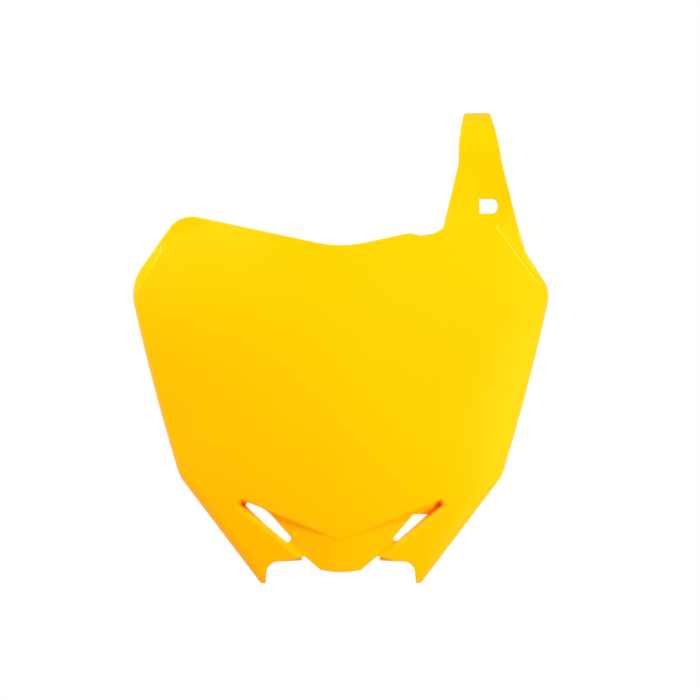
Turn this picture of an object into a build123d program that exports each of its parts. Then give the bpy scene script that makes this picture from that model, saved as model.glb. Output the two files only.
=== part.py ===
from build123d import *
import math
import os

# Front number plate moulded in one piece
# All sizes in millimetres: X to the viewer's right, Y to the back, Z up from the chin edge
WALL = 2.4
RIM_DEPTH = 9.0
RIM_RADIUS = 4.5
BLOCK_HALF_WIDTH = 150.0
BLOCK_FRONT = -60.0
BLOCK_BOTTOM = -20.0
BLOCK_TOP = 245.0
RIM_BOTTOM_Z = -14.0

# Outline of the plate, right half seen from the front: (X, Z) of each corner and its radius
TOP_DIP = (0.0, 218.8)
TOP_DIP_RADIUS = 80.0
TOP_CORNER = (107.8, 242.0)
TOP_CORNER_RADIUS = 19.0
SIDE_CORNER = (142.15, 189.9)
SIDE_CORNER_RADIUS = 20.0
SIDE_BOW = 2.0
SIDE_BOW_RADIUS = 1500.0
WAIST_CORNER = (109.2, 65.0)
WAIST_CORNER_RADIUS = 24.0
FANG_OUTER = (60.0, -7.2)
FANG_INNER = (50.7, -7.9)
FANG_ROOT = (49.6, 7.0)
FANG_ROOT_RADIUS = 8.0
NOTCH_LOW = (26.3, 7.7)
NOTCH_HIGH = (26.3, 10.6)
NOTCH_INNER = (24.2, 10.6)
NOTCH_RADIUS = 1.0
CHIN_CORNER = (13.6, 1.5)
CHIN_CORNER_RADIUS = 4.0
CHIN_LOW = (0.0, -0.5)
CHIN_LOW_RADIUS = 60.0
LOWER_EDGE_SLOPE = 0.76

# Shallow dip in the top edge beside the strap
EDGE_DIP = [(46.6, 228.7), (54.1, 227.0), (63.0, 228.6), (70.6, 232.4)]
EDGE_DIP_RADIUS = 8.0

# Skin: sides swept back, a bulge from top to bottom and a keel that fades out upwards
SIDE_SWEEP_RADIUS = 330.0
BULGE_RADIUS = 800.0
BULGE_MIDDLE_Z = 95.0
KEEL_SLOPE = 0.075
KEEL_FULL_Z = 90.0
KEEL_END_Z = 195.0
LOWER_SECTIONS = 3
KEEL_SECTIONS = 4

# Recess below the face: V-shaped edge, gutter and chin
V_EDGE = [(0.0, 20.9), (33.5, 34.3), (67.0, 48.6)]
V_STEP_DRAFT = 1.0
WING_RIDGE_LOW = (26.0, 10.6)
WING_RIDGE_HIGH = (70.5, 45.8)
POCKET_END_LOW = (70.4, 45.2)
POCKET_END_HIGH = (67.0, 49.2)
POCKET_END_DRAFT = 0.1
WING_WALL_DRAFT = 0.14
WING_RIDGE_RADIUS = 2.0
WING_CUT_START = (26.4, 11.3)
WING_CUT_END = (39.2, 6.6)
WING_CUT_INNER_X = 25.2
WING_CUT_DRAFT = 1.0
CHIN_SET_BACK = 0.3
CHIN_NOSE_RADIUS = 40.0
CHIN_SLOPE = 0.30
GUTTER_X = 32.0
GUTTER_SLOPE = 0.39
RECESS_BOTTOM_Z = -30.0
RECESS_MARGIN = 15.0

# Air slots through the gutters, which differ left and right
LEFT_SLOT = [(-62.9, 47.1), (-50.4, 42.4), (-33.2, 23.0), (-35.4, 19.2), (-50.6, 31.6), (-64.4, 45.0)]
LEFT_SLOT_RADII = [0.8, 20.0, 1.6, 1.6, 30.0, 0.8]
RIGHT_SLOT = [(49.0, 39.0), (59.0, 39.0), (37.2, 20.2), (35.2, 22.9)]
RIGHT_SLOT_RADII = [0.8, 0.4, 1.6, 1.6]

# Strap: flattens and stands up straight between its foot and its crease
STRAP_FOOT_Z = 228.0
STRAP_HEIGHT = 58.0
STRAP_FLAT_HEIGHT = 10.0
STRAP_FOOT_LEFT = (69.6, 232.0)
STRAP_KINK_X = 80.6
STRAP_KINK_DROP = 11.0
STRAP_KINK_RADIUS = 20.0
STRAP_CREASE_LEFT = 80.9
STRAP_CREASE_RIGHT = 107.6
STRAP_BEND_X = 109.9
STRAP_BEND_DROP = 12.0
STRAP_HIP_RIGHT = (120.3, 233.7)
STRAP_BEND_RADIUS = 60.0
STRAP_FOOT_RIGHT = (128.4, 206.3)
STRAP_ROOT_Z = 208.0
STRAP_MIDDLE_X = 94.5
STRAP_FOLD_X = 98.0
STRAP_SET_BACK = 0.15
STRAP_TURN = 0.03
STRAIGHTENING_HEIGHT = 27.0
ROOT_SECTIONS = 2
STRAP_SECTIONS = 4
SHEET_LEFT = 60.0
SHEET_RIGHT = 145.0

# Curl at the top of the strap, which hooks over the bar
CURL_INNER_RADIUS = 22.0
CURL_ANGLE = 130.0
CURL_TIP_LENGTH = 14.0
CURL_LEFT_X = 81.9
CURL_LEFT_RISE = 11.5
CURL_RIGHT_X = 104.1
CURL_RIGHT_RISE = 14.5
CURL_TOP_LEFT = 84.9
CURL_TOP_RIGHT = 100.4
CURL_TIP_LEFT = 88.4
CURL_TIP_RIGHT = 97.2
CURL_TIP_RADIUS = 3.5
TRIM_MARGIN = 2.0

# D-shaped catch hole in the strap
CATCH_LEFT = 93.7
CATCH_RIGHT = 106.1
CATCH_BOTTOM = 242.1
CATCH_TOP = 252.0
CATCH_CORNER_RADIUS = 0.6
CATCH_ROUND_RADIUS = 4.2

# Sizes that follow from those above
CURL_RADIUS = CURL_INNER_RADIUS + WALL
STRAP_CREASE_Z = STRAP_FOOT_Z + STRAP_HEIGHT
STRAP_FLAT_Z = STRAP_CREASE_Z - STRAP_FLAT_HEIGHT
STRAP_KINK = (STRAP_KINK_X, STRAP_CREASE_Z - STRAP_KINK_DROP)
STRAP_BEND_RIGHT = (STRAP_BEND_X, STRAP_CREASE_Z - STRAP_BEND_DROP)
CURL_TOP_Z = STRAP_CREASE_Z + CURL_RADIUS
RECESS_HEIGHT = V_EDGE[-1][1] + RECESS_MARGIN - RECESS_BOTTOM_Z
SIDE_LENGTH = math.dist(SIDE_CORNER, WAIST_CORNER)
SIDE_MIDDLE = (
    (SIDE_CORNER[0] + WAIST_CORNER[0]) / 2 + SIDE_BOW * (SIDE_CORNER[1] - WAIST_CORNER[1]) / SIDE_LENGTH,
    (SIDE_CORNER[1] + WAIST_CORNER[1]) / 2 - SIDE_BOW * (SIDE_CORNER[0] - WAIST_CORNER[0]) / SIDE_LENGTH,
)
CURL_LEFT_MIDDLE = (CURL_LEFT_X, STRAP_CREASE_Z + CURL_LEFT_RISE)
CURL_RIGHT_MIDDLE = (CURL_RIGHT_X, STRAP_CREASE_Z + CURL_RIGHT_RISE)
FOOT_LEAN = math.asin((STRAP_FOOT_Z - BULGE_MIDDLE_Z) / BULGE_RADIUS)
STRAIGHTENING_RADIUS = STRAIGHTENING_HEIGHT / math.sin(FOOT_LEAN)


def smooth_step(value):
    clipped = min(max(value, 0.0), 1.0)
    return clipped * clipped * (3.0 - 2.0 * clipped)


def bulge(z):
    return BULGE_RADIUS - math.sqrt(BULGE_RADIUS**2 - (z - BULGE_MIDDLE_Z) ** 2)


def sweep_back(x, keel):
    start = SIDE_SWEEP_RADIUS * math.sin(keel)
    reach = abs(x) + start
    return SIDE_SWEEP_RADIUS * math.cos(keel) - math.sqrt(SIDE_SWEEP_RADIUS**2 - reach**2)


# The origin lies on the back of the chin edge, in the plane of symmetry
def keel_line(z):
    face = bulge(min(z, STRAP_FOOT_Z)) - bulge(0.0) - WALL
    rise = min(max(z - STRAP_FOOT_Z, 0.0), STRAIGHTENING_HEIGHT)
    left = STRAIGHTENING_HEIGHT - rise
    return face + math.sqrt(STRAIGHTENING_RADIUS**2 - left**2) - STRAIGHTENING_RADIUS * math.cos(FOOT_LEAN)


def flattened(z):
    return smooth_step((z - STRAP_FOOT_Z) / (STRAP_FLAT_Z - STRAP_FOOT_Z))


def skin(x, z):
    keel = KEEL_SLOPE * smooth_step((KEEL_END_Z - z) / (KEEL_END_Z - KEEL_FULL_Z))
    flat = flattened(z)
    return keel_line(z) + (1.0 - flat) * sweep_back(x, keel) + flat * sweep_back(STRAP_MIDDLE_X, 0.0)


def strap_skin(x, z):
    turn = STRAP_TURN * max(x - STRAP_FOLD_X, 0.0) * (1.0 - flattened(z))
    return skin(x, z) + STRAP_SET_BACK * (1.0 - flattened(z)) + turn


# Depth behind everything that is cut, from the deepest corner of the skin and the size of the curl
BLOCK_BACK = skin(BLOCK_HALF_WIDTH, BLOCK_TOP) + RIM_DEPTH + 2 * CURL_RADIUS


def levels(start, end, count):
    return [start + (end - start) * step / count for step in range(count)]


# Everything behind the right half of the skin, moved back by set_back
SKIN_LEVELS = levels(BLOCK_BOTTOM, KEEL_FULL_Z, LOWER_SECTIONS)
SKIN_LEVELS += levels(KEEL_FULL_Z, KEEL_END_Z, KEEL_SECTIONS)
SKIN_LEVELS += [KEEL_END_Z, STRAP_FOOT_Z, BLOCK_TOP]


def half_skin_block(set_back):
    half = BLOCK_HALF_WIDTH
    with BuildPart() as block:
        for z in SKIN_LEVELS:
            middle = (0, skin(0, z) + set_back)
            quarter = (half / 2, skin(half / 2, z) + set_back)
            side = (half, skin(half, z) + set_back)
            with BuildSketch(Plane.XY.offset(z)):
                with BuildLine():
                    ThreePointArc(middle, quarter, side)
                    Polyline(side, (half, BLOCK_BACK), (0, BLOCK_BACK), middle)
                make_face()
        loft()
    return block.part


# Right half of the plate as a full block, with its outline drawn in by inset
def half_plate_block(set_back, inset):
    low_x = WAIST_CORNER[0] - LOWER_EDGE_SLOPE * (WAIST_CORNER[1] - RIM_BOTTOM_Z)
    top_left = (-TOP_CORNER[0], TOP_CORNER[1])
    with BuildPart() as block:
        add(half_skin_block(set_back))
        with BuildSketch(Plane.XZ):
            with BuildLine():
                FilletPolyline(
                    top_left,
                    TOP_DIP,
                    TOP_CORNER,
                    SIDE_CORNER,
                    SIDE_MIDDLE,
                    WAIST_CORNER,
                    (low_x, RIM_BOTTOM_Z),
                    (top_left[0], RIM_BOTTOM_Z),
                    radius=[
                        0,
                        TOP_DIP_RADIUS,
                        TOP_CORNER_RADIUS,
                        SIDE_CORNER_RADIUS,
                        SIDE_BOW_RADIUS,
                        WAIST_CORNER_RADIUS,
                        0,
                        0,
                    ],
                    close=True,
                )
            make_face()
            if inset > 0:
                offset(amount=-inset, mode=Mode.REPLACE)
        extrude(amount=BLOCK_BACK, both=True, mode=Mode.INTERSECT)
    return block.part


def on_skin(x, z):
    return Vector(x, skin(x, z), z)


# Plane through two points on the skin, running back with a draft to the side of its run
def drafted_plane(start, end, draft, shift=0.0):
    base = on_skin(*start)
    run = on_skin(*end) - base
    side = Vector(run.Z, 0, -run.X).normalized() * draft
    normal = run.cross(side + Vector(0, 1, 0)).normalized()
    return Plane(base + normal * shift, x_dir=run, z_dir=normal)


# Space in front of chin and gutters, grown on every side by grow
def recess(grow):
    lean = (keel_line(V_EDGE[0][1]) - keel_line(0.0)) / V_EDGE[0][1]
    tilt = math.atan(CHIN_SLOPE)
    nose = keel_line(0.0) + CHIN_SET_BACK + grow + lean * RECESS_BOTTOM_Z
    nose_x = CHIN_NOSE_RADIUS * math.sin(tilt)
    nose_y = nose + CHIN_NOSE_RADIUS * (1.0 - math.cos(tilt))
    bow_x = CHIN_NOSE_RADIUS * math.sin(tilt / 2)
    bow_y = nose + CHIN_NOSE_RADIUS * (1.0 - math.cos(tilt / 2))
    gutter_y = nose_y + CHIN_SLOPE * (GUTTER_X - nose_x)
    end_x = WING_RIDGE_HIGH[0] + 2 * grow
    end_y = gutter_y + GUTTER_SLOPE * (end_x - GUTTER_X)
    inner_step = drafted_plane(V_EDGE[0], V_EDGE[1], V_STEP_DRAFT, grow)
    outer_step = drafted_plane(V_EDGE[1], V_EDGE[2], V_STEP_DRAFT, grow)
    wing_wall = drafted_plane(WING_RIDGE_LOW, WING_RIDGE_HIGH, -WING_WALL_DRAFT, -grow)
    pocket_end = drafted_plane(POCKET_END_LOW, POCKET_END_HIGH, -POCKET_END_DRAFT, -grow)
    with BuildPart() as column:
        with BuildSketch(Plane.XY.offset(RECESS_BOTTOM_Z)):
            with BuildLine():
                ThreePointArc((0, nose), (bow_x, bow_y), (nose_x, nose_y))
                Polyline(
                    (nose_x, nose_y),
                    (GUTTER_X, gutter_y),
                    (end_x, end_y),
                    (end_x, BLOCK_FRONT),
                    (0, BLOCK_FRONT),
                    (0, nose),
                )
            make_face()
        extrude(amount=RECESS_HEIGHT, dir=Vector(0, lean, 1).normalized())
        split(bisect_by=wing_wall, keep=Keep.TOP)
        split(bisect_by=pocket_end, keep=Keep.TOP)
    with BuildPart() as above:
        add(column.part)
        split(bisect_by=inner_step, keep=Keep.TOP)
        split(bisect_by=outer_step, keep=Keep.TOP)
    with BuildPart() as space:
        add(column.part)
        add(above.part, mode=Mode.SUBTRACT)
        mirror(about=Plane.YZ)
    return space.part


def on_wing_ridge(edge):
    point = edge.center()
    run_x = WING_RIDGE_HIGH[0] - WING_RIDGE_LOW[0]
    run_z = WING_RIDGE_HIGH[1] - WING_RIDGE_LOW[1]
    off_line = run_x * (point.Z - WING_RIDGE_LOW[1]) - run_z * (abs(point.X) - WING_RIDGE_LOW[0])
    near_line = abs(off_line) < run_x
    near_skin = abs(point.Y - skin(point.X, point.Z)) < WALL / 4
    return near_line and near_skin and edge.length > run_z / 2


def on_rim(edge):
    point = edge.center()
    near_skin = abs(point.Y - skin(point.X, point.Z)) < WALL / 4
    return near_skin and point.X > WALL and point.Z > RIM_BOTTOM_Z + WALL


# Right half of the shell: rounded block, hollowed from behind and cut off at the depth of its rim
with BuildPart() as half_block:
    add(half_plate_block(0.0, 0.0))
    fillet(half_block.edges().filter_by(on_rim), radius=RIM_RADIUS)
    add(half_plate_block(WALL, WALL), mode=Mode.SUBTRACT)
    add(half_skin_block(RIM_DEPTH), mode=Mode.SUBTRACT)

# Wall around the recess, kept behind the middle of the face's thickness
with BuildPart() as behind:
    add(half_skin_block(WALL / 2))
    mirror(about=Plane.YZ)

with BuildPart() as pan:
    add(recess(WALL))
    add(behind.part, mode=Mode.INTERSECT)

RIGHT_BOTTOM = [
    (FANG_OUTER, 0),
    (FANG_INNER, 0),
    (FANG_ROOT, FANG_ROOT_RADIUS),
    (NOTCH_LOW, 0),
    (NOTCH_HIGH, 0),
    (NOTCH_INNER, NOTCH_RADIUS),
    (CHIN_CORNER, CHIN_CORNER_RADIUS),
]
BOTTOM = RIGHT_BOTTOM + [(CHIN_LOW, CHIN_LOW_RADIUS)]
BOTTOM += [((-point[0], point[1]), radius) for point, radius in reversed(RIGHT_BOTTOM)]
BOTTOM += [((-FANG_OUTER[0], RECESS_BOTTOM_Z), 0), ((FANG_OUTER[0], RECESS_BOTTOM_Z), 0)]

# Slanted underside where each wing ends beside the chin
with BuildPart() as wing_cut:
    with BuildSketch(Plane.XY.offset(RECESS_BOTTOM_Z)):
        with BuildLine():
            Polyline(
                (WING_CUT_INNER_X, BLOCK_FRONT),
                (WING_CUT_END[0], BLOCK_FRONT),
                (WING_CUT_END[0], BLOCK_BACK),
                (WING_CUT_INNER_X, BLOCK_BACK),
                close=True,
            )
        make_face()
    extrude(amount=RECESS_HEIGHT)
    split(bisect_by=drafted_plane(WING_CUT_START, WING_CUT_END, WING_CUT_DRAFT), keep=Keep.BOTTOM)
    mirror(about=Plane.YZ)

with BuildPart() as board:
    add(half_block.part)
    mirror(about=Plane.YZ)
    add(pan.part)
    add(recess(0.0), mode=Mode.SUBTRACT)
    with BuildSketch(Plane.XZ):
        with BuildLine():
            FilletPolyline(
                [point for point, radius in BOTTOM],
                radius=[radius for point, radius in BOTTOM],
                close=True,
            )
        make_face()
    extrude(amount=BLOCK_BACK, both=True, mode=Mode.SUBTRACT)
    fillet(board.edges().filter_by(on_wing_ridge), radius=WING_RIDGE_RADIUS)
    add(wing_cut.part, mode=Mode.SUBTRACT)
    with BuildSketch(Plane.XZ):
        with BuildLine():
            FilletPolyline(LEFT_SLOT, radius=LEFT_SLOT_RADII, close=True)
        make_face()
        with BuildLine():
            FilletPolyline(RIGHT_SLOT, radius=RIGHT_SLOT_RADII, close=True)
        make_face()
    extrude(amount=BLOCK_BACK, both=True, mode=Mode.SUBTRACT)
    with BuildSketch(Plane.XZ):
        with BuildLine():
            FilletPolyline(
                EDGE_DIP + [(EDGE_DIP[-1][0], BLOCK_TOP), (EDGE_DIP[0][0], BLOCK_TOP)],
                radius=[0, EDGE_DIP_RADIUS, EDGE_DIP_RADIUS, 0, 0, 0],
                close=True,
            )
        make_face()
    extrude(amount=BLOCK_BACK, both=True, mode=Mode.SUBTRACT)

# Strap as a thin sheet that follows the skin at its foot and is flat at its crease
STRAP_LEVELS = levels(STRAP_ROOT_Z, STRAP_FOOT_Z, ROOT_SECTIONS)
STRAP_LEVELS += levels(STRAP_FOOT_Z, STRAP_FLAT_Z, STRAP_SECTIONS)
STRAP_LEVELS += [STRAP_FLAT_Z, STRAP_CREASE_Z]


def sheet_line(set_back, z):
    left, fold, right = [(x, strap_skin(x, z) + set_back) for x in (SHEET_LEFT, STRAP_FOLD_X, SHEET_RIGHT)]
    if z >= STRAP_FLAT_Z:
        Line(left, right)
    else:
        ThreePointArc(left, fold, right)
    return left, right


with BuildPart() as strap:
    for z in STRAP_LEVELS:
        with BuildSketch(Plane.XY.offset(z)):
            with BuildLine():
                front_left, front_right = sheet_line(0.0, z)
                back_left, back_right = sheet_line(WALL, z)
                Line(front_left, back_left)
                Line(front_right, back_right)
            make_face()
    loft()
    with BuildSketch(Plane.XZ):
        with BuildLine():
            FilletPolyline(
                STRAP_FOOT_LEFT,
                STRAP_KINK,
                (STRAP_CREASE_LEFT, STRAP_CREASE_Z),
                (STRAP_CREASE_RIGHT, STRAP_CREASE_Z),
                STRAP_BEND_RIGHT,
                STRAP_HIP_RIGHT,
                STRAP_FOOT_RIGHT,
                (STRAP_FOOT_LEFT[0], STRAP_FOOT_RIGHT[1]),
                radius=[0, STRAP_KINK_RADIUS, 0, 0, STRAP_BEND_RADIUS, STRAP_BEND_RADIUS, 0, 0],
                close=True,
            )
        make_face()
    extrude(amount=BLOCK_BACK, both=True, mode=Mode.INTERSECT)

# Curl: a rolled strip about the bar axis, trimmed to the strap in front and to its tip behind
STRAP_Y = strap_skin(STRAP_MIDDLE_X, STRAP_CREASE_Z)
BAR_Y = STRAP_Y + CURL_RADIUS
CURL_END = math.radians(180.0 - CURL_ANGLE)
TIP_RUN = Vector(math.sin(CURL_END), -math.cos(CURL_END)) * CURL_TIP_LENGTH


def around_bar(radius, angle):
    return Vector(BAR_Y + radius * math.cos(angle), STRAP_CREASE_Z + radius * math.sin(angle))


TIP_Z = (around_bar(CURL_RADIUS, CURL_END) + TIP_RUN).Y

with BuildPart() as trim:
    with BuildSketch(Plane.XZ.offset(-BAR_Y)):
        with BuildLine():
            Polyline(
                (CURL_TOP_LEFT, CURL_TOP_Z),
                (CURL_TOP_LEFT, CURL_TOP_Z + TRIM_MARGIN),
                (CURL_TOP_RIGHT, CURL_TOP_Z + TRIM_MARGIN),
                (CURL_TOP_RIGHT, CURL_TOP_Z),
            )
            ThreePointArc(
                (CURL_TOP_RIGHT, CURL_TOP_Z), CURL_RIGHT_MIDDLE, (STRAP_CREASE_RIGHT, STRAP_CREASE_Z)
            )
            Line((STRAP_CREASE_RIGHT, STRAP_CREASE_Z), (STRAP_CREASE_LEFT, STRAP_CREASE_Z))
            ThreePointArc((STRAP_CREASE_LEFT, STRAP_CREASE_Z), CURL_LEFT_MIDDLE, (CURL_TOP_LEFT, CURL_TOP_Z))
        make_face()
    extrude(amount=BLOCK_BACK)
    with BuildSketch(Plane.XZ.offset(-BAR_Y)):
        with BuildLine():
            FilletPolyline(
                (CURL_TOP_LEFT, CURL_TOP_Z + TRIM_MARGIN),
                (CURL_TOP_RIGHT, CURL_TOP_Z + TRIM_MARGIN),
                (CURL_TOP_RIGHT, CURL_TOP_Z),
                (CURL_TIP_RIGHT, TIP_Z),
                (CURL_TIP_LEFT, TIP_Z),
                (CURL_TOP_LEFT, CURL_TOP_Z),
                radius=[0, 0, 0, CURL_TIP_RADIUS, CURL_TIP_RADIUS, 0],
                close=True,
            )
        make_face()
    extrude(amount=-BLOCK_BACK)

with BuildPart() as curl:
    with BuildSketch(Plane.YZ.offset(SHEET_LEFT)):
        with BuildLine():
            ThreePointArc(
                around_bar(CURL_RADIUS, math.pi),
                around_bar(CURL_RADIUS, math.pi / 2),
                around_bar(CURL_RADIUS, CURL_END),
            )
            Polyline(
                around_bar(CURL_RADIUS, CURL_END),
                around_bar(CURL_RADIUS, CURL_END) + TIP_RUN,
                around_bar(CURL_INNER_RADIUS, CURL_END) + TIP_RUN,
                around_bar(CURL_INNER_RADIUS, CURL_END),
            )
            ThreePointArc(
                around_bar(CURL_INNER_RADIUS, CURL_END),
                around_bar(CURL_INNER_RADIUS, math.pi / 2),
                around_bar(CURL_INNER_RADIUS, math.pi),
            )
            Line(around_bar(CURL_INNER_RADIUS, math.pi), around_bar(CURL_RADIUS, math.pi))
        make_face()
    extrude(amount=SHEET_RIGHT - SHEET_LEFT)
    add(trim.part, mode=Mode.INTERSECT)

with BuildPart() as number_board:
    add(board.part)
    add(strap.part)
    add(curl.part)
    with BuildSketch(Plane.XZ):
        with BuildLine():
            FilletPolyline(
                (CATCH_LEFT, CATCH_BOTTOM),
                (CATCH_RIGHT, CATCH_BOTTOM),
                (CATCH_RIGHT, CATCH_TOP),
                (CATCH_LEFT, CATCH_TOP),
                radius=[CATCH_CORNER_RADIUS, CATCH_ROUND_RADIUS, CATCH_ROUND_RADIUS, CATCH_CORNER_RADIUS],
                close=True,
            )
        make_face()
    extrude(amount=BLOCK_BACK, both=True, mode=Mode.SUBTRACT)

os.makedirs("parts", exist_ok=True)
number_board.part.label = "number_board"
export_step(number_board.part, "parts/number_board.step")
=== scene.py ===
import bpy
import math
import numpy as np
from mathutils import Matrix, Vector
from mathutils.geometry import delaunay_2d_cdt
from mathutils.kdtree import KDTree


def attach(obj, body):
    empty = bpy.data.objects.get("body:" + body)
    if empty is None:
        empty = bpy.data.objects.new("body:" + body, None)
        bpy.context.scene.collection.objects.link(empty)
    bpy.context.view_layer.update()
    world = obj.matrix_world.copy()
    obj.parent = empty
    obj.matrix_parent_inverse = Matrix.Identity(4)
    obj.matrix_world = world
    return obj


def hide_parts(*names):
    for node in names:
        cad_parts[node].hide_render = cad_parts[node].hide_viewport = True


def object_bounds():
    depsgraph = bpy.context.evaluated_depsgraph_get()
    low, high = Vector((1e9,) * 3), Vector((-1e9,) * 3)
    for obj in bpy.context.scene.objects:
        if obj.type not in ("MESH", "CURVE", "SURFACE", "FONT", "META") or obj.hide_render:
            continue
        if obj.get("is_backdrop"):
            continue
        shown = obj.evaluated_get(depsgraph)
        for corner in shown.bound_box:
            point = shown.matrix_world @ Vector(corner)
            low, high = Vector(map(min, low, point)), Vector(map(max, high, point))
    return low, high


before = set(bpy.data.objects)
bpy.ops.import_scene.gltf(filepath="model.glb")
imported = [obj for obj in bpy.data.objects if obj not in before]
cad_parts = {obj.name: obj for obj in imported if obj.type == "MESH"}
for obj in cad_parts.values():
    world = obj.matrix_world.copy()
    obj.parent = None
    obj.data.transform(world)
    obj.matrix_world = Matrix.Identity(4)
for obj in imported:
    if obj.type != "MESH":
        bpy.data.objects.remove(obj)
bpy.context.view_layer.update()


# Shell of the number plate: one skin of yellow polypropylene, 2.4 mm thick, injection moulded in one piece.
# Its face is bulged, keeled and swept back, its rim is turned back, and its strap curls over the bar.
# It is drawn in millimetres, as depths behind the skin over a flat pattern, then rolled and placed.
WALL = 2.4
RIM_DEPTH = 9.0
RIM_RADIUS = 4.5
SIDE_SWEEP_RADIUS = 330.0
BULGE_RADIUS = 800.0
BULGE_MIDDLE_Z = 95.0
KEEL_SLOPE = 0.075
KEEL_FULL_Z = 90.0
KEEL_END_Z = 195.0
KEEL_SOFTNESS = 2.5
STRAP_FOOT_Z = 228.0
STRAP_CREASE_Z = 286.0
STRAP_FLAT_Z = 276.0
STRAP_MIDDLE_X = 94.5
STRAIGHTENING_HEIGHT = 27.0
FOOT_LEAN = math.asin((STRAP_FOOT_Z - BULGE_MIDDLE_Z) / BULGE_RADIUS)
STRAIGHTENING_RADIUS = STRAIGHTENING_HEIGHT / math.sin(FOOT_LEAN)


def smooth_step(value):
    clipped = np.clip(value, 0.0, 1.0)
    return clipped * clipped * (3.0 - 2.0 * clipped)


def soft_min(a, b, width):
    share = np.clip(0.5 + 0.5 * (b - a) / width, 0.0, 1.0)
    return b * (1.0 - share) + a * share - width * share * (1.0 - share)


def soft_max(a, b, width):
    return -soft_min(-a, -b, width)


def bulge(z):
    return BULGE_RADIUS - np.sqrt(BULGE_RADIUS**2 - (z - BULGE_MIDDLE_Z) ** 2)


def sweep_back(x, keel):
    reach = np.sqrt(x**2 + KEEL_SOFTNESS**2) + SIDE_SWEEP_RADIUS * np.sin(keel)
    return SIDE_SWEEP_RADIUS * np.cos(keel) - np.sqrt(SIDE_SWEEP_RADIUS**2 - reach**2)


def keel_line(z):
    left = STRAIGHTENING_HEIGHT - np.clip(z - STRAP_FOOT_Z, 0.0, STRAIGHTENING_HEIGHT)
    upright = np.sqrt(STRAIGHTENING_RADIUS**2 - left**2) - STRAIGHTENING_RADIUS * math.cos(FOOT_LEAN)
    return bulge(np.minimum(z, STRAP_FOOT_Z)) - bulge(0.0) - WALL + upright


def skin(x, z):
    keel = KEEL_SLOPE * smooth_step((KEEL_END_Z - z) / (KEEL_END_Z - KEEL_FULL_Z))
    flat = smooth_step((z - STRAP_FOOT_Z) / (STRAP_FLAT_Z - STRAP_FOOT_Z))
    return keel_line(z) + (1.0 - flat) * sweep_back(x, keel) + flat * sweep_back(STRAP_MIDDLE_X, 0.0)


def quarter_round(distance, radius):
    left = np.clip(radius - distance, 0.0, radius)
    return radius - np.sqrt(radius**2 - left**2)


def side_of(x, z, start, end):
    run = np.subtract(end, start) / np.hypot(*np.subtract(end, start))
    return (x - start[0]) * run[1] - (z - start[1]) * run[0]


def along(x, z, start, end):
    run = np.subtract(end, start) / np.hypot(*np.subtract(end, start))
    return (x - start[0]) * run[0] + (z - start[1]) * run[1]


# Recess under the V-shaped edge, as depth behind the skin: step, sloped wing bands, gutters and chin
V_EDGE = [(0.0, 20.9), (33.5, 34.3), (67.0, 48.6)]
V_BEND_SOFTNESS = 1.5
STEP_TOP_SOFTNESS = 1.3
STEP_UPPER_SLOPE = 2.4
STEP_LOWER_SLOPE = 1.3
STEP_BREAK_SHARE = 0.2
STEP_BREAK_SOFTNESS = 0.8
STEP_FOOT_SHARE = 0.4
STEP_FOOT_LIMITS = (0.3, 1.6)
POCKET_END = [(70.4, 45.2), (67.0, 49.2)]
POCKET_SLOPE = 2.2
POCKET_OVERRUN = 1.0
POCKET_TOP_SOFTNESS = 0.8
POCKET_FOOT_SOFTNESS = 1.0
POCKET_STEEPENING = 0.9
POCKET_STEEP_FROM = 8.0
POCKET_STEEP_RUN = 6.0
WING_RIDGE = [(26.0, 10.6), (70.5, 45.8)]
BAND_START = -2.95
BAND_WIDTH = 3.4
BAND_SLOPES = (1.3, 0.8)
BAND_SLOPE_START = 6.0
BAND_SLOPE_RUN = 12.0
BAND_SOFTNESS = 0.6
BAND_FOOT_SOFTNESS = 1.0
BAND_END_SLANT = 2.0
BAND_END_INSET = 1.4
BAND_END_SOFTNESS = 3.0
LEFT_BAND_SHIFT = 0.8
SLOT_WALL_SLOPE = 3.0
WING_CUT = [(26.4, 11.3), (39.2, 6.6)]
WING_CUT_INNER_X = 25.2
WING_CUT_SLOPE = 5.0
CHIN_SET_BACK = 0.5
CHIN_NOSE_RADIUS = 40.0
CHIN_SLOPE = 0.30
GUTTER_X = 32.0
GUTTER_SLOPE = 0.39
GUTTER_SOFTNESS = 5.0
CHIN_TILT = math.atan(CHIN_SLOPE)
CHIN_LEAN = float((keel_line(V_EDGE[0][1]) - keel_line(0.0)) / V_EDGE[0][1])


def chin_floor(x, z):
    nose_x = CHIN_NOSE_RADIUS * math.sin(CHIN_TILT)
    near = np.minimum(np.abs(x), nose_x)
    bow = CHIN_NOSE_RADIUS - np.sqrt(CHIN_NOSE_RADIUS**2 - near**2)
    slope = CHIN_SLOPE * np.maximum(np.abs(x) - nose_x, 0.0)
    gutter = (GUTTER_SLOPE - CHIN_SLOPE) * soft_max(np.abs(x) - GUTTER_X, 0.0, GUTTER_SOFTNESS)
    return keel_line(0.0) + CHIN_SET_BACK + CHIN_LEAN * z + bow + slope + gutter


def wing_band(inside, share):
    low, high = BAND_SLOPES
    past = inside - BAND_START
    band = (low + (high - low) * share) * soft_max(past, 0.0, BAND_SOFTNESS)
    return band + SLOT_WALL_SLOPE * soft_max(past - BAND_WIDTH, 0.0, BAND_SOFTNESS)


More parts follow.
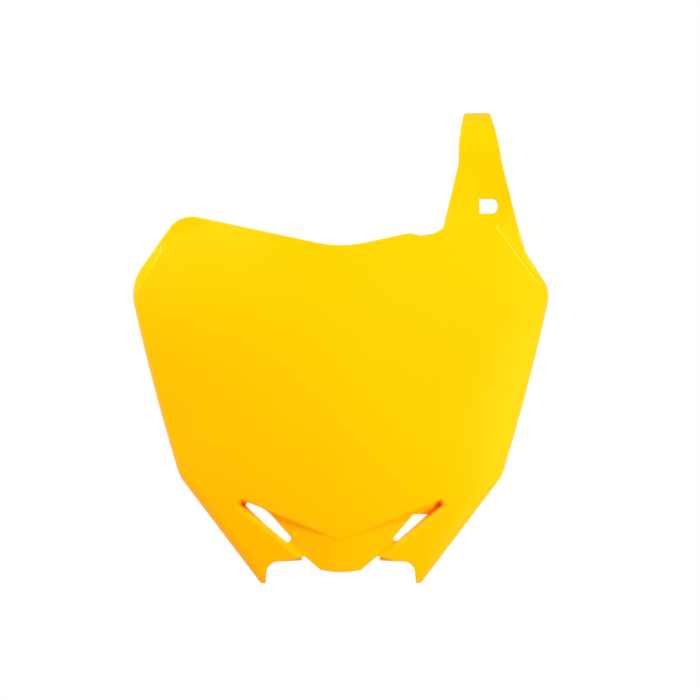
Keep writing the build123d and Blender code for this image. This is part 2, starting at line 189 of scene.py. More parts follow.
def recess_depth(x, z, grow):
    across = np.abs(x)
    end = -side_of(across, z, *POCKET_END)
    floor = np.maximum(chin_floor(x, z) + grow - skin(x, z), 0.0)
    step = soft_max(side_of(across, z, *V_EDGE[:2]), side_of(across, z, *V_EDGE[1:]), V_BEND_SOFTNESS)
    step = soft_max(step + math.sqrt(2.0) * grow, 0.0, STEP_TOP_SOFTNESS)
    lower = STEP_BREAK_SHARE * floor + STEP_LOWER_SLOPE * step
    step = soft_min(STEP_UPPER_SLOPE * step, lower, STEP_BREAK_SOFTNESS)
    step = step * (1.0 + POCKET_STEEPENING * smooth_step((POCKET_STEEP_FROM - end) / POCKET_STEEP_RUN))
    pan = soft_min(step, floor, np.clip(STEP_FOOT_SHARE * floor, *STEP_FOOT_LIMITS))
    pocket = POCKET_SLOPE * soft_max(end + POCKET_OVERRUN + grow, 0.0, POCKET_TOP_SOFTNESS)
    pan = soft_min(pan, pocket, POCKET_FOOT_SOFTNESS)
    inside = -side_of(across, z, *WING_RIDGE) - np.where(x < 0.0, LEFT_BAND_SHIFT, 0.0)
    inside = soft_min(inside, BAND_END_SLANT * end - BAND_END_INSET, BAND_END_SOFTNESS)
    share = smooth_step((along(across, z, *WING_RIDGE) - BAND_SLOPE_START) / BAND_SLOPE_RUN)
    return soft_min(pan, wing_band(inside + grow, share), BAND_FOOT_SOFTNESS)


def wing_cut_depth(x, z):
    across = np.abs(x)
    under = WING_CUT_SLOPE * np.maximum(side_of(across, z, *WING_CUT), 0.0)
    return np.where((across > WING_CUT_INNER_X) & (across < WING_CUT[1][0]), under, 0.0)


# Outline of the flat pattern: corners (across, up, radius), with the strap and its unrolled curl at the right
ARC_STEP = 0.16
EDGE_SPACING = 2.0


def rounded(corners, spacing=EDGE_SPACING, closed=True):
    path = []
    for i, (x, z, radius) in enumerate(corners):
        here = np.array((x, z), float)
        if radius == 0:
            path.append(here)
            continue
        before = np.subtract(corners[i - 1][:2], here)
        after = np.subtract(corners[(i + 1) % len(corners)][:2], here)
        a = before / np.hypot(*before)
        b = after / np.hypot(*after)
        half = 0.5 * math.acos(np.clip(a @ b, -1.0, 1.0))
        middle = here + (a + b) / np.hypot(*(a + b)) * radius / math.sin(half)
        start = here + a * radius / math.tan(half) - middle
        end = here + b * radius / math.tan(half) - middle
        turn = math.pi - 2.0 * half
        steps = max(2, math.ceil(turn / ARC_STEP), math.ceil(turn * radius / spacing))
        for k in range(steps + 1):
            f = k / steps
            swing = start * math.sin((1 - f) * turn) + end * math.sin(f * turn)
            path.append(middle + swing / math.sin(turn))
    if closed:
        path.append(path[0])
    fine = []
    for a, b in zip(path, path[1:]):
        parts = max(1, math.ceil(np.hypot(*(b - a)) / spacing))
        fine += [a + (b - a) * k / parts for k in range(parts)]
    return np.array(fine if closed else fine + [path[-1]])


CURL_RADIUS = 24.4
CURL_DEGREES = 130.0
CURL_STEP_DEGREES = 5.0
CURL_TURN = math.radians(CURL_DEGREES)
CURL_CORNER = 1.3
CURL_TIP_LENGTH = 14.0
CURL_TIP_CORNER = 3.5
CURL_END = STRAP_CREASE_Z + CURL_RADIUS * CURL_TURN
CURL_TOP_Z = STRAP_CREASE_Z + CURL_RADIUS
CURL_TIP_Z = CURL_TOP_Z - CURL_RADIUS * (1 - math.sin(CURL_TURN)) + CURL_TIP_LENGTH * math.cos(CURL_TURN)
BAR_Y = float(skin(STRAP_MIDDLE_X, STRAP_CREASE_Z)) + CURL_RADIUS


def curl_edge(front, back, corner):
    (low_x, low_z), (mid_x, mid_z), (top_x, top_z) = front
    fit = np.polyfit((low_z, mid_z, top_z), (low_x, mid_x, top_x), 2)
    edge = []
    for turn in np.radians(np.arange(CURL_STEP_DEGREES, CURL_DEGREES, CURL_STEP_DEGREES)):
        z = STRAP_CREASE_Z + CURL_RADIUS * math.sin(turn)
        x = np.polyval(fit, z) + math.copysign(quarter_round(CURL_TOP_Z - z, abs(corner)), corner)
        if turn > math.pi / 2:
            x = back + (top_x + corner - back) * (z - CURL_TIP_Z) / (CURL_TOP_Z - CURL_TIP_Z)
        edge.append((x, STRAP_CREASE_Z + CURL_RADIUS * turn, 0))
    edge.append((back, CURL_END + CURL_TIP_LENGTH, CURL_TIP_CORNER))
    return edge


CREASE_LEFT = (79.8, STRAP_CREASE_Z)
CREASE_RIGHT = (107.3, STRAP_CREASE_Z)
CURL_LEFT = curl_edge([CREASE_LEFT, (80.8, 297.5), (83.5, CURL_TOP_Z)], 88.0, CURL_CORNER)
CURL_RIGHT = curl_edge([CREASE_RIGHT, (104.0, 300.5), (101.0, CURL_TOP_Z)], 97.5, -CURL_CORNER)
STRAP_LEFT = [(69.0, 232.0, 1.2), (79.5, 275.0, 20), (*CREASE_LEFT, 0)]
STRAP_RIGHT = [(*CREASE_RIGHT, 0), (109.5, 274.0, 60), (119.8, 233.7, 60), (125.2, 215.63, 12)]
STRAP = STRAP_LEFT + CURL_LEFT + CURL_RIGHT[::-1] + STRAP_RIGHT
TOP_EDGE = [(0.0, 218.8, 80), (46.6, 228.83, 8), (54.1, 227.0, 8), (63.0, 228.6, 8)]
SIDE_CORNER = (142.15, 189.9)
WAIST_CORNER = (109.2, 65.0)
SIDE_BOW = 2.0
SIDE_BOW_RADIUS = 1500
side_run = np.subtract(WAIST_CORNER, SIDE_CORNER) / math.dist(SIDE_CORNER, WAIST_CORNER)
side_middle = np.add(SIDE_CORNER, WAIST_CORNER) / 2 + SIDE_BOW * np.array((-side_run[1], side_run[0]))
SIDE_EDGE = [(*SIDE_CORNER, 20), (*side_middle, SIDE_BOW_RADIUS), (*WAIST_CORNER, 24)]
LOWER_EDGE = [
    (54.3, -7.2, 1.3),
    (50.7, -7.9, 1.2),
    (49.6, 7.0, 8),
    (26.3, 7.7, 0.5),
    (26.3, 10.6, 0.5),
    (24.2, 10.6, 1),
    (13.6, 1.5, 4),
]
CHIN_LOW = [(0.0, -0.5, 60)]
TOP_CORNER = (107.8, 242.0, 19)
STRAP_ROOT = (72.0, 234.3, 4)
LEFT_CORNERS = [(-109.0, 242.3, 19), (-143.1, 194.0, 32)]
RIM_FOOT = (49.16, -14.0, 0)


def mirrored(corners):
    return [(-x, z, radius) for x, z, radius in reversed(corners)]


outline = rounded(
    TOP_EDGE
    + STRAP
    + SIDE_EDGE
    + LOWER_EDGE
    + CHIN_LOW
    + mirrored(SIDE_EDGE[1:] + LOWER_EDGE)
    + LEFT_CORNERS[::-1]
)
rim_line = rounded(
    [RIM_FOOT]
    + SIDE_EDGE[::-1]
    + [TOP_CORNER, STRAP_ROOT]
    + TOP_EDGE[::-1]
    + LEFT_CORNERS
    + mirrored(SIDE_EDGE[:0:-1])
    + mirrored([RIM_FOOT]),
    closed=False,
)
LEFT_SLOT = [
    (-62.9, 47.1, 0.8),
    (-50.4, 42.4, 20.0),
    (-33.2, 23.0, 1.6),
    (-35.4, 19.2, 1.6),
    (-50.6, 31.6, 30.0),
    (-64.4, 45.0, 0.8),
]
RIGHT_SLOT = [(49.0, 39.0, 0.8), (59.0, 39.0, 0.4), (37.2, 20.2, 1.6), (35.2, 22.9, 1.6)]
CATCH_HOLE = [(93.7, 242.1, 0.6), (106.1, 242.1, 4.2), (106.1, 252.0, 4.2), (93.7, 252.0, 0.6)]
HOLE_SPACING = 1.0
holes = [rounded(corners, HOLE_SPACING) for corners in (LEFT_SLOT, RIGHT_SLOT, CATCH_HOLE)]
FAR_AWAY = 1e9


def holds(loop, x, z):
    within = np.zeros(len(x), bool)
    for (ax, az), (bx, bz) in zip(loop, np.roll(loop, -1, axis=0)):
        if az == bz:
            continue
        crossing = (az > z) != (bz > z)
        within ^= crossing & (x < ax + (z - az) * (bx - ax) / (bz - az))
    return within


def distance_to(path, x, z):
    nearest = np.full(len(x), FAR_AWAY)
    for (ax, az), (bx, bz) in zip(path, path[1:]):
        run_x = bx - ax
        run_z = bz - az
        share = np.clip(((x - ax) * run_x + (z - az) * run_z) / (run_x**2 + run_z**2), 0.0, 1.0)
        nearest = np.minimum(nearest, (x - ax - share * run_x) ** 2 + (z - az - share * run_z) ** 2)
    return np.sqrt(nearest)


def drawn_in(path, inset, closed):
    before = np.roll(path, 1, axis=0)
    after = np.roll(path, -1, axis=0)
    if not closed:
        before[0] = path[0]
        after[-1] = path[-1]
    run = after - before
    run /= np.hypot(run[:, 0], run[:, 1])[:, None]
    return path + inset * np.column_stack((-run[:, 1], run[:, 0]))


def closed_loop(path):
    return np.vstack((path, path[:1]))


def turns_left(loop):
    after = np.roll(loop, -1, axis=0)
    return np.sum(loop[:, 0] * after[:, 1] - after[:, 0] * loop[:, 1]) > 0.0


# Lines that the mesh follows at the edges: outline, holes, cut edges and the rings of the rim
RIM_MATCH = 0.02
CUT_RADIUS = 0.5
CUT_INSETS = (0.07, 0.25, CUT_RADIUS)
RIM_ARC = np.radians((0, 12, 24, 36, 48, 60, 72, 84, 90))
RIM_RINGS = {0.5, 1.9, 2.15, WALL, 2.9, 3.4, 3.7, 4.25, 4.75, 5.1, 5.4, 5.7, 6.05, 6.4, 7.0}
RIM_OUTER_RING = 0.12
on_rim = distance_to(rim_line, outline[:, 0], outline[:, 1]) < RIM_MATCH
cut_runs = []
for start in np.flatnonzero(on_rim & ~np.roll(on_rim, -1)):
    run = [outline[start]]
    k = (start + 1) % len(outline)
    while not on_rim[k]:
        run.append(outline[k])
        k = (k + 1) % len(outline)
    cut_runs.append(np.array(run + [outline[k]]))
lines = [closed_loop(outline)] + [closed_loop(hole) for hole in holes]
for run in cut_runs:
    for inset in CUT_INSETS:
        lines.append(drawn_in(run, -inset, False))
rim_insets = sorted(set(np.round(RIM_RADIUS * (1 - np.cos(RIM_ARC)), 3)) | RIM_RINGS)
for inset in rim_insets[1:]:
    lines.append(drawn_in(rim_line, inset, False))
lines.append(rim_line)
outside = drawn_in(rim_line, -RIM_OUTER_RING, False)
lines.append(outside[holds(outline, outside[:, 0], outside[:, 1])])
for hole in holes:
    for inset in CUT_INSETS:
        lines.append(closed_loop(drawn_in(hole, -inset if turns_left(hole) else inset, True)))


# Lines that the mesh follows on the face: wing bands, wing cuts, step, crease, fold and bead
FOLD = [(131.5, 198.6), (105.5, 233.4)]
BEAD = [(82.5, 279.6), (84.9, 288.2)]
BAND_LINES = (4.6, 3.9, 3.55, 3.25, 2.95, 2.65, 2.35, 1.5, 0.8, 0.3, 0.15, 0.05)
BAND_LINES += (-0.05, -0.15, -0.3, -0.6, -1.2, -2.0)
BAND_LINE_ENDS = (-16.0, 4.0)
WING_CUT_LINES = (-0.2, 0.0, 0.15, 0.5, 1.2, 2.0)
STEP_LINES = (-1.2, -0.6, -0.2, 0.0, 0.2, 0.6, 1.3, 2.0, 3.0, 4.2, 5.6, 7.2, 9.0)
FOLD_LINES = (-1.6, -1.1, -0.7, -0.35, 0.0, 0.35, 0.7, 1.1, 1.6, 2.1, 2.6, 3.1, 3.7)
FOLD_LINE_ENDS = (-1.0, 3.0)
BEAD_LINES = (-2.0, -1.4, -0.9, -0.45, 0.0, 0.45, 0.9, 1.4, 2.0)
BEAD_LINE_ENDS = (-0.5, 0.5)
LINE_SPACING = 1.4
WING_CUT_SPACING = 1.0
BEAD_SPACING = 0.9
CREASE_POINTS = 14


def offset_run(start, end, shift, spacing, begin=0.0, finish=0.0):
    run = np.subtract(end, start)
    run = run / np.hypot(*run)
    aside = np.array((run[1], -run[0])) * shift
    first = np.add(start, aside) + run * begin
    last = np.add(end, aside) + run * finish
    parts = max(2, math.ceil(np.hypot(*(last - first)) / spacing))
    return np.array([first + (last - first) * k / parts for k in range(parts + 1)])


V_SLANT = V_EDGE[1][0] / np.hypot(*np.subtract(V_EDGE[1], V_EDGE[0]))
for side in (1, -1):
    mirror = np.array((side, 1))
    for shift in BAND_LINES:
        moved = shift - LEFT_BAND_SHIFT if side < 0 else shift
        lines.append(offset_run(*WING_RIDGE, moved, LINE_SPACING, *BAND_LINE_ENDS) * mirror)
    for shift in WING_CUT_LINES:
        lines.append(offset_run(*WING_CUT, shift, WING_CUT_SPACING) * mirror)
    for shift in STEP_LINES:
        past_middle = offset_run(*V_EDGE[:2], shift, LINE_SPACING)[0][0]
        lines.append(offset_run(*V_EDGE[:2], shift, LINE_SPACING, -past_middle / V_SLANT) * mirror)
        lines.append(offset_run(*V_EDGE[1:], shift, LINE_SPACING) * mirror)
crease_across = np.linspace(CREASE_LEFT[0], CREASE_RIGHT[0], CREASE_POINTS)
lines.append(np.column_stack((crease_across, np.full(CREASE_POINTS, STRAP_CREASE_Z))))
for shift in FOLD_LINES:
    lines.append(offset_run(*FOLD, shift, LINE_SPACING, *FOLD_LINE_ENDS))
for shift in BEAD_LINES:
    lines.append(offset_run(*BEAD, shift, BEAD_SPACING, *BEAD_LINE_ENDS))


# Flat mesh: triangles between those lines and a grid of points (spacing, lowest and highest row, half width)
GRIDS = [(2.2, -8.0, 356.0, 143.0), (1.1, -1.0, 52.0, 73.0)]
ROW_RATIO = 0.866
GRID_CLEARANCE = 0.55
MERGE_DISTANCE = 1e-4
LEAST_DOUBLE_AREA = 1e-7
points = []
edges = []
for line in lines:
    first = len(points)
    points += [tuple(p) for p in line]
    edges += [(first + k, first + k + 1) for k in range(len(line) - 1)]
line_points = KDTree(len(points))
for k, p in enumerate(points):
    line_points.insert((p[0], p[1], 0.0), k)
line_points.balance()
for spacing, low, high, half in GRIDS:
    for row, z in enumerate(np.arange(low, high, spacing * ROW_RATIO)):
        for x in np.arange(-half + (row % 2) * spacing / 2, half, spacing):
            if line_points.find((x, z, 0.0))[2] > GRID_CLEARANCE * spacing:
                points.append((x, z))
flat_points, _, flat_faces = delaunay_2d_cdt([Vector(p) for p in points], edges, [], 0, MERGE_DISTANCE)[:3]
flat = np.array([tuple(p) for p in flat_points])
faces = np.array(flat_faces)
centre = flat[faces].mean(axis=1)
kept = holds(outline, centre[:, 0], centre[:, 1])
for hole in holes:
    kept &= ~holds(hole, centre[:, 0], centre[:, 1])
faces = faces[kept]
a, b, c = (flat[faces[:, k]] for k in range(3))
double_area = (b[:, 0] - a[:, 0]) * (c[:, 1] - a[:, 1]) - (b[:, 1] - a[:, 1]) * (c[:, 0] - a[:, 0])
faces = faces[np.abs(double_area) > LEAST_DOUBLE_AREA]
used = np.unique(faces)
number = np.full(len(flat), -1)
number[used] = np.arange(len(used))
faces = number[faces]
across = flat[used, 0]
up = flat[used, 1]
height = np.minimum(up, STRAP_CREASE_Z)


# Edges of the front: turned-back rim, fold at the strap's foot, crease on the left bevel, slope on the wings
ON_RIM_LINE = 0.003
STRAP_ZONE_Z = 190.0
BEVEL_ZONE_Z = 185.0
BEVEL = [SIDE_CORNER, TOP_CORNER[:2]]
LEFT_BEVEL = [LEFT_CORNERS[1][:2], LEFT_CORNERS[0][:2]]
EDGE_RADIUS = 1.2
TOP_RIM_RADIUS = 0.8
TOP_RIM_START = 30.0
TOP_RIM_RUN = 12.0
STRAP_EDGE_LEFT = [(68.8, 232.0), (79.5, 275.0)]
STRAP_EDGE_BLEND = 1.0
STRAP_EDGE_TOP_Z = 250.0
STRAP_JOINT = 30.4
STRAP_JOINT_RUN = 6.0
FOLD_SLOPE = 0.62
FOLD_DEPTH = 1.2
FOLD_SOFTNESS = 1.45
FOLD_START = 9.0
FOLD_START_RUN = 7.0
FOLD_FADE_START = 0.68
FOLD_FADE_RUN = 0.45
FOLD_FOOT_SOFTNESS = 0.35
FOLD_LEAST_SOFTNESS = 0.02
LEFT_CREASE_INSET = 5.4
LEFT_CREASE_SLOPE = 0.45
LEFT_CREASE_SOFTNESS = 0.8
LEFT_CREASE_START = 1.0
LEFT_CREASE_START_RUN = 5.0
LEFT_CREASE_FADE_START = 16.0
LEFT_CREASE_FADE_RUN = 26.0
WING_STRIP_SLOPE = 0.13
WING_STRIP_WIDTH = 6.8
WING_STRIP_SOFTNESS = 1.5
WING_STRIP_TOP_Z = 58.0
WING_STRIP_FADE = 14.0
inward = distance_to(rim_line, across, up) * np.where(holds(rim_line, across, up), 1.0, -1.0)
never_outside = (np.abs(inward) < ON_RIM_LINE) | (up < STRAP_ZONE_Z)
inward = np.where(never_outside, np.maximum(inward, 0.0), inward)
rim_inset = np.maximum(inward, 0.0)
on_top = smooth_step((along(np.abs(across), up, *BEVEL) - TOP_RIM_START) / TOP_RIM_RUN)
turned = quarter_round(rim_inset, RIM_RADIUS + (TOP_RIM_RADIUS - RIM_RADIUS) * on_top)
fade = 1.0 - smooth_step((along(across, up, *FOLD) / math.dist(*FOLD) - FOLD_FADE_START) / FOLD_FADE_RUN)
fold = FOLD_SLOPE * soft_max(side_of(across, up, *FOLD), 0.0, FOLD_SOFTNESS)
fold = soft_min(fold, fade * FOLD_DEPTH, np.maximum(FOLD_FOOT_SOFTNESS * fade, FOLD_LEAST_SOFTNESS))
past_edge = side_of(across, up, *STRAP_EDGE_LEFT) + STRAP_EDGE_BLEND
strap_left = smooth_step(past_edge / (2.0 * STRAP_EDGE_BLEND))
strap_left = np.where(up < STRAP_EDGE_TOP_Z, strap_left, 1.0)
bevel_along = along(across, up, *BEVEL)
strap_share = strap_left * smooth_step((bevel_along - STRAP_JOINT + STRAP_EDGE_BLEND) / STRAP_JOINT_RUN)
folded = fold + (1.0 - strap_share) * quarter_round(rim_inset, EDGE_RADIUS)
on_fold = strap_left * smooth_step((bevel_along - FOLD_START) / FOLD_START_RUN)
creased = LEFT_CREASE_SLOPE * soft_max(LEFT_CREASE_INSET - rim_inset, 0.0, LEFT_CREASE_SOFTNESS)
creased += quarter_round(rim_inset, EDGE_RADIUS)
left_along = along(across, up, *LEFT_BEVEL)
on_crease = smooth_step((left_along - LEFT_CREASE_START) / LEFT_CREASE_START_RUN)
on_crease *= 1.0 - smooth_step((left_along - LEFT_CREASE_FADE_START) / LEFT_CREASE_FADE_RUN)
bevel_share = np.where(across > 0.0, on_fold, on_crease)
bevelled = turned + bevel_share * (np.where(across > 0.0, folded, creased) - turned)
strip = WING_STRIP_SLOPE * soft_max(WING_STRIP_WIDTH - rim_inset, 0.0, WING_STRIP_SOFTNESS)
strip = strip * smooth_step((WING_STRIP_TOP_Z - up) / WING_STRIP_FADE)
edge_drop = np.where(up > BEVEL_ZONE_Z, bevelled, turned) + strip


# Front and back of the shell, with the recess, the rounded cut edges, the strap's bead and the rib of the rim
RECESS_TOP_Z = 60.0
WING_CUT_TOP_Z = 20.0
PAN_TOP_Z = 62.0
BEAD_HEIGHT = 0.75
BEAD_HALF_WIDTH = 0.9
BEAD_RISE = 0.6
BEAD_FALL = 0.25
RIB_RADIUS = 0.5
BACK_CUT_SHARE = 0.7
LEAST_WALL = 0.8
cut = np.full(len(across), FAR_AWAY)
for line in cut_runs + [closed_loop(hole) for hole in holes]:
    cut = np.minimum(cut, distance_to(line, across, up))
recess = np.where(up < RECESS_TOP_Z, recess_depth(across, height, 0.0), 0.0)
recess = np.maximum(recess, np.where(up < WING_CUT_TOP_Z, wing_cut_depth(across, height), 0.0))
bead_along = along(across, up, *BEAD) / math.dist(*BEAD)
bead = BEAD_HEIGHT * np.exp(-((side_of(across, up, *BEAD) / BEAD_HALF_WIDTH) ** 2))
bead *= smooth_step(bead_along / BEAD_RISE) * smooth_step((1.0 - bead_along) / BEAD_FALL)
front = edge_drop + recess + quarter_round(cut, CUT_RADIUS) - bead
rib = RIM_DEPTH - quarter_round(inward, RIB_RADIUS) - quarter_round(WALL - inward, RIB_RADIUS)
rib = np.where((inward >= 0.0) & (inward <= WALL), rib, 0.0)
behind = WALL + np.where(inward < 0.0, edge_drop, 0.0)
pan = np.where(up < PAN_TOP_Z, recess_depth(across, height, WALL), 0.0)
back = np.maximum(np.maximum(behind, rib), pan) - BACK_CUT_SHARE * quarter_round(cut, CUT_RADIUS)
back = np.maximum(back, front + LEAST_WALL)


def placed(depth):
    turn = np.clip((up - STRAP_CREASE_Z) / CURL_RADIUS, 0.0, CURL_TURN)
    tip = np.maximum(up - CURL_END, 0.0)
    rolled = CURL_RADIUS - depth
    flat_y = skin(across, height) + depth
    curl_y = BAR_Y - rolled * np.cos(turn) + tip * math.sin(math.pi - CURL_TURN)
    curl_z = STRAP_CREASE_Z + rolled * np.sin(turn) - tip * math.cos(math.pi - CURL_TURN)
    on_curl = up > STRAP_CREASE_Z
    return np.column_stack((across, np.where(on_curl, curl_y, flat_y), np.where(on_curl, curl_z, up)))


# Solid mesh of the shell: front, back, and a wall along every open edge
MILLIMETRE = 0.001
SHARP_ANGLE = math.radians(34.0)
corner_pairs = np.vstack((faces[:, (0, 1)], faces[:, (1, 2)], faces[:, (2, 0)]))
known = {tuple(pair) for pair in corner_pairs.tolist()}
border = sorted(pair for pair in known if (pair[1], pair[0]) not in known)
count = len(used)
shell_points = np.vstack((placed(front), placed(back))) * MILLIMETRE
shell_faces = [tuple(f) for f in faces.tolist()]
shell_faces += [(a + count, c + count, b + count) for a, b, c in faces.tolist()]
shell_faces += [(b, a, a + count, b + count) for a, b in border]
shell_mesh = bpy.data.meshes.new("plate_shell")
shell_mesh.from_pydata(shell_points.tolist(), [], shell_faces)
shell_mesh.shade_smooth()
shell_mesh.set_sharp_from_angle(angle=SHARP_ANGLE)
plate = bpy.data.objects.new("plate_shell", shell_mesh)
bpy.context.collection.objects.link(plate)
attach(plate, "root")
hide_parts("number_board")


# Yellow plastic with painted shade: its colour is painted darker towards the lower left, and amber in hollows
# where shade falls.
# Edges are worn a little paler, and walls that face aside, down or up are less polished than the face.
YELLOW = (1.0, 0.605, 0.0, 1.0)
PAINTED_SHADE_YELLOW = (1.0, 0.53, 0.0, 1.0)
AMBER_PAINTED_SHADE = (1.0, 0.36, 0.0, 1.0)
WORN_YELLOW = (1.0, 0.68, 0.05, 1.0)
GLOSS_LEVEL = 0.25
GLOSS_TINT = (1.0, 0.85, 0.1, 1.0)
PAINTED_SHADE_SIDEWAYS = 0.6
PAINTED_SHADE_WANDER = 0.06
PAINTED_SHADE_HEIGHTS = (0.2, -0.02)
HOLLOW_SHADE_REACH = 0.008
HOLLOW_SHADE_OPENNESS = (0.7, 0.3)
WORN_SHARPNESS = (0.505, 0.56)
WORN_PATCHES = (0.35, 0.65)
WORN_COLOUR_SHARE = 0.5
WORN_ROUGHNESS = 0.1
FACE_PATCHES = (0.3, 0.7)
FACE_ROUGHNESS = (0.17, 0.22)
SCUFF_STRETCH = (1.0, 1.0, 0.12)
SCUFF_PATCHES = (0.58, 0.72)
SCUFF_ROUGHNESS = 0.03
WALL_FINISHES = [("Y", (-0.6, -0.2), 0.2), ("Z", (-0.3, -0.7), 0.35), ("Z", (0.5, 0.9), 0.4)]
PEEL_STRENGTH = 0.08
PEEL_HEIGHT = 0.0001
plastic = bpy.data.materials.new("yellow_plastic")
plastic.use_nodes = True
tree = plastic.node_tree


# The next helpers add nodes to whichever material or room is in hand as tree
def node(kind, **settings):
    made = tree.nodes.new("ShaderNode" + kind)
    for name, value in settings.items():
        setattr(made, name, value)
    return made


def link(source, target):
    tree.links.new(source, target)


def between(value, low, high, first=0.0, last=1.0):
    span = node("MapRange", interpolation_type="SMOOTHSTEP")
    for name, number in zip(("From Min", "From Max", "To Min", "To Max"), (low, high, first, last)):
        span.inputs[name].default_value = number
    link(value, span.inputs["Value"])
    return span.outputs["Result"]


def blended(share, first, second):
    mix = node("MixRGB")
    link(share, mix.inputs[0])
    for slot, colour in zip(mix.inputs[1:], (first, second)):
        if isinstance(colour, tuple):
            slot.default_value = colour
        else:
            link(colour, slot)
    return mix.outputs[0]


def combined(operation, first, second):
    sum_up = node("Math", operation=operation)
    for slot, value in zip(sum_up.inputs, (first, second)):
        if isinstance(value, float):
            slot.default_value = value
        else:
            link(value, slot)
    return sum_up.outputs[0]


place = node("TexCoord")


def noise(scale, detail, stretch=(1.0, 1.0, 1.0)):
    pull = node("Mapping")
    pull.inputs["Scale"].default_value = stretch
    grain = node("TexNoise")
    grain.inputs["Scale"].default_value = scale
    grain.inputs["Detail"].default_value = detail
    link(place.outputs["Object"], pull.inputs["Vector"])
    link(pull.outputs["Vector"], grain.inputs["Vector"])
    return grain.outputs["Fac"]


gloss = tree.nodes["Principled BSDF"]
gloss.inputs["Specular IOR Level"].default_value = GLOSS_LEVEL
gloss.inputs["Specular Tint"].default_value = GLOSS_TINT
part_of = node("SeparateXYZ")
link(place.outputs["Object"], part_of.inputs[0])
# Painted shade: the base colour darkens towards the lower left, where the plate gets less light
painted_shade = combined("MULTIPLY", part_of.outputs["X"], PAINTED_SHADE_SIDEWAYS)
painted_shade = combined("ADD", painted_shade, part_of.outputs["Z"])
painted_shade = combined("ADD", painted_shade, combined("MULTIPLY", noise(9.0, 2.0), PAINTED_SHADE_WANDER))
colour = blended(between(painted_shade, *PAINTED_SHADE_HEIGHTS), YELLOW, PAINTED_SHADE_YELLOW)
# Painted shade: ambient occlusion turns the colour amber in hollows, steps and pockets, where shade falls
hollow_shade = node("AmbientOcclusion", samples=12)
hollow_shade.inputs["Distance"].default_value = HOLLOW_SHADE_REACH
colour = blended(between(hollow_shade.outputs["AO"], *HOLLOW_SHADE_OPENNESS), colour, AMBER_PAINTED_SHADE)
shape = node("NewGeometry")
worn = between(shape.outputs["Pointiness"], *WORN_SHARPNESS)
worn = combined("MULTIPLY", worn, between(noise(45.0, 5.0), *WORN_PATCHES))
colour = blended(combined("MULTIPLY", worn, WORN_COLOUR_SHARE), colour, WORN_YELLOW)
link(colour, gloss.inputs["Base Color"])
scuffs = between(noise(70.0, 6.0, SCUFF_STRETCH), *SCUFF_PATCHES, 0.0, SCUFF_ROUGHNESS)
roughness = combined("ADD", between(noise(25.0, 3.0), *FACE_PATCHES, *FACE_ROUGHNESS), scuffs)
roughness = combined("ADD", roughness, combined("MULTIPLY", worn, WORN_ROUGHNESS))
facing = node("SeparateXYZ")
link(shape.outputs["Normal"], facing.inputs[0])
for axis, span, rougher in WALL_FINISHES:
    roughness = combined("ADD", roughness, between(facing.outputs[axis], *span, 0.0, rougher))
link(roughness, gloss.inputs["Roughness"])
peel = node("Bump")
peel.inputs["Strength"].default_value = PEEL_STRENGTH
peel.inputs["Distance"].default_value = PEEL_HEIGHT
link(noise(420.0, 2.0), peel.inputs["Height"])
link(peel.outputs["Normal"], gloss.inputs["Normal"])
shell_mesh.materials.append(plastic)


# Floor: a pale matt sheet of card that lies 0.3 m under the plate, below the lower edge of the picture.
# It fades out towards its rim, so that it shows no hard edge in the white room.
FLOOR_HALF_WIDTH = 0.5
FLOOR_DROP = 0.3
FLOOR_FADE = (0.25, 0.48)
FLOOR_GREY = (0.65, 0.65, 0.65, 1)
floor_corners = [(-1, -1), (1, -1), (1, 1), (-1, 1)]
floor_points = [(x * FLOOR_HALF_WIDTH, y * FLOOR_HALF_WIDTH, -FLOOR_DROP) for x, y in floor_corners]
floor_mesh = bpy.data.meshes.new("floor")
floor_mesh.from_pydata(floor_points, [], [(0, 1, 2, 3)])
floor = bpy.data.objects.new("floor", floor_mesh)
bpy.context.collection.objects.link(floor)
floor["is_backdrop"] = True
sheet = bpy.data.materials.new("pale_sheet")
sheet.use_nodes = True
tree = sheet.node_tree
tree.nodes.clear()
sheet_out = node("OutputMaterial")
fade_out = node("MixShader")
matt = node("BsdfDiffuse")
matt.inputs["Color"].default_value = FLOOR_GREY
clear = node("BsdfTransparent")
spot = node("TexCoord")
from_middle = node("VectorMath", operation="LENGTH")
link(spot.outputs["Object"], from_middle.inputs[0])
link(between(from_middle.outputs["Value"], *FLOOR_FADE), fade_out.inputs[0])
link(matt.outputs[0], fade_out.inputs[1])
link(clear.outputs[0], fade_out.inputs[2])
link(fade_out.outputs[0], sheet_out.inputs["Surface"])
floor_mesh.materials.append(sheet)


# Studio: a room that the camera, the gloss and clear things see as plain white.
# To all other light it has warm tones that change with height, and a paler backdrop behind the plate.
ROOM_TONES = [
    (-0.35, (0.7, 0.31, 0.12)),
    (0.05, (0.95, 0.69, 0.4)),
    (0.35, (0.95, 0.69, 0.4)),
    (0.75, (0.1, 0.04, 0.02)),
]
BACKDROP_TONE = (0.95, 0.9, 0.8, 1.0)
BACKDROP_EDGE = (0.15, 0.7)
room = bpy.data.worlds.new("studio_room")
bpy.context.scene.world = room
room.use_nodes = True
tree = room.node_tree
tree.nodes.clear()
room_out = node("OutputWorld")
way = node("TexCoord")
direction = node("SeparateXYZ")
link(way.outputs["Generated"], direction.inputs[0])
level = node("MapRange")
level.inputs["From Min"].default_value = -1.0
link(direction.outputs["Z"], level.inputs["Value"])
tones = node("ValToRGB")
while len(tones.color_ramp.elements) < len(ROOM_TONES):
    tones.color_ramp.elements.new(0.5)
for stop, (rise, tone) in zip(tones.color_ramp.elements, ROOM_TONES):
    stop.position = (rise + 1.0) / 2.0
    stop.color = (*tone, 1.0)
link(level.outputs["Result"], tones.inputs[0])
soft = node("Background")
backdrop = between(direction.outputs["Y"], *BACKDROP_EDGE)
link(blended(backdrop, tones.outputs["Color"], BACKDROP_TONE), soft.inputs["Color"])
white = node("Background")
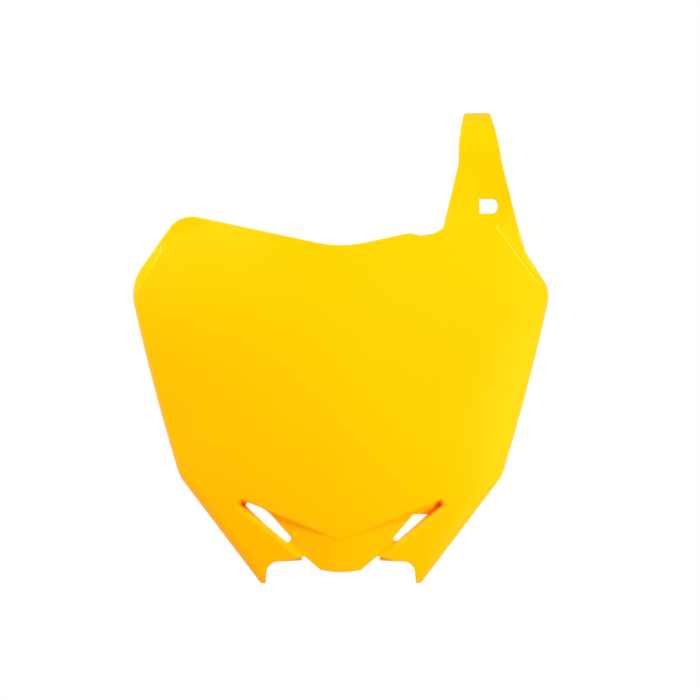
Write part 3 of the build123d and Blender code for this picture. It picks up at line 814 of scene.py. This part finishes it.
white.inputs["Color"].default_value = (1, 1, 1, 1)
path = node("LightPath")
seen = combined("MAXIMUM", path.outputs["Is Camera Ray"], path.outputs["Is Glossy Ray"])
seen = combined("MAXIMUM", seen, path.outputs["Is Transmission Ray"])
choice = node("MixShader")
link(seen, choice.inputs[0])
link(soft.outputs[0], choice.inputs[1])
link(white.outputs[0], choice.inputs[2])
link(choice.outputs[0], room_out.inputs[0])


# Lamps: softboxes on stands, the largest at the upper left, and two small lamps for the highlights
# on the fold and on the left crease. Places and sizes are in metres, and powers in watts.
FACE_MIDDLE = (0.0, 0.0, 0.15)
LOWER_FACE = (0.0, 0.0, 0.1)
FOLD_SPOT = (0.12, 0.03, 0.215)
LEFT_CREASE_SPOT = (-0.13, 0.03, 0.205)


def softbox(name, stand_at, aim, size, power):
    lamp = bpy.data.lights.new(name, "AREA")
    lamp.shape = "RECTANGLE"
    lamp.size, lamp.size_y = size
    lamp.energy = power
    stand = bpy.data.objects.new(name, lamp)
    bpy.context.collection.objects.link(stand)
    stand.location = stand_at
    stand.rotation_euler = (Vector(aim) - Vector(stand_at)).to_track_quat("-Z", "Y").to_euler()


softbox("key_softbox", (-0.7, -0.6, 1.1), FACE_MIDDLE, size=(1.3, 1.3), power=13.9)
softbox("side_softbox", (0.75, -0.32, 0.02), LOWER_FACE, size=(0.6, 0.9), power=2.5)
softbox("low_softbox", (0.9, -0.5, -0.15), LOWER_FACE, size=(0.5, 0.5), power=1.7)
softbox("front_panel", (0.83, -1.84, 0.8), FACE_MIDDLE, size=(1.2, 1.2), power=1.9)
softbox("left_softbox", (-1.1, -0.45, 0.6), FACE_MIDDLE, size=(1.2, 1.2), power=1.2)
softbox("right_lamp", (1.1, -0.57, 0.67), FOLD_SPOT, size=(0.095, 0.23), power=3.2)
softbox("left_lamp", (-1.06, -0.43, 0.59), LEFT_CREASE_SPOT, size=(0.11, 0.19), power=1.25)


# Camera: a long lens, square on to the face, as far off as makes a pixel of the photo 0.676 mm on the plate.
# Its place follows from the photo's row of the chin edge and from how far the plate stands off the middle.
PIXEL = 0.000676
PHOTO_PIXELS = 700
CHIN_EDGE_ROW = 571.7
PLATE_OFF_MIDDLE = 9.2
SCALE_PLANE_Y = 0.02
camera = bpy.data.cameras.new("camera")
camera.lens = 600.0
camera.sensor_width = 36.0
camera.clip_end = 100.0
eye = bpy.data.objects.new("camera", camera)
bpy.context.collection.objects.link(eye)
eye_x = PLATE_OFF_MIDDLE * PIXEL
eye_y = SCALE_PLANE_Y - PHOTO_PIXELS * PIXEL * camera.lens / camera.sensor_width
eye_z = (CHIN_EDGE_ROW - PHOTO_PIXELS / 2) * PIXEL
eye.location = (eye_x, eye_y, eye_z)
eye.rotation_euler = (math.radians(90), 0, 0)
bpy.context.scene.camera = eye
bpy.context.scene.view_settings.view_transform = "Standard"

low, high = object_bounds()
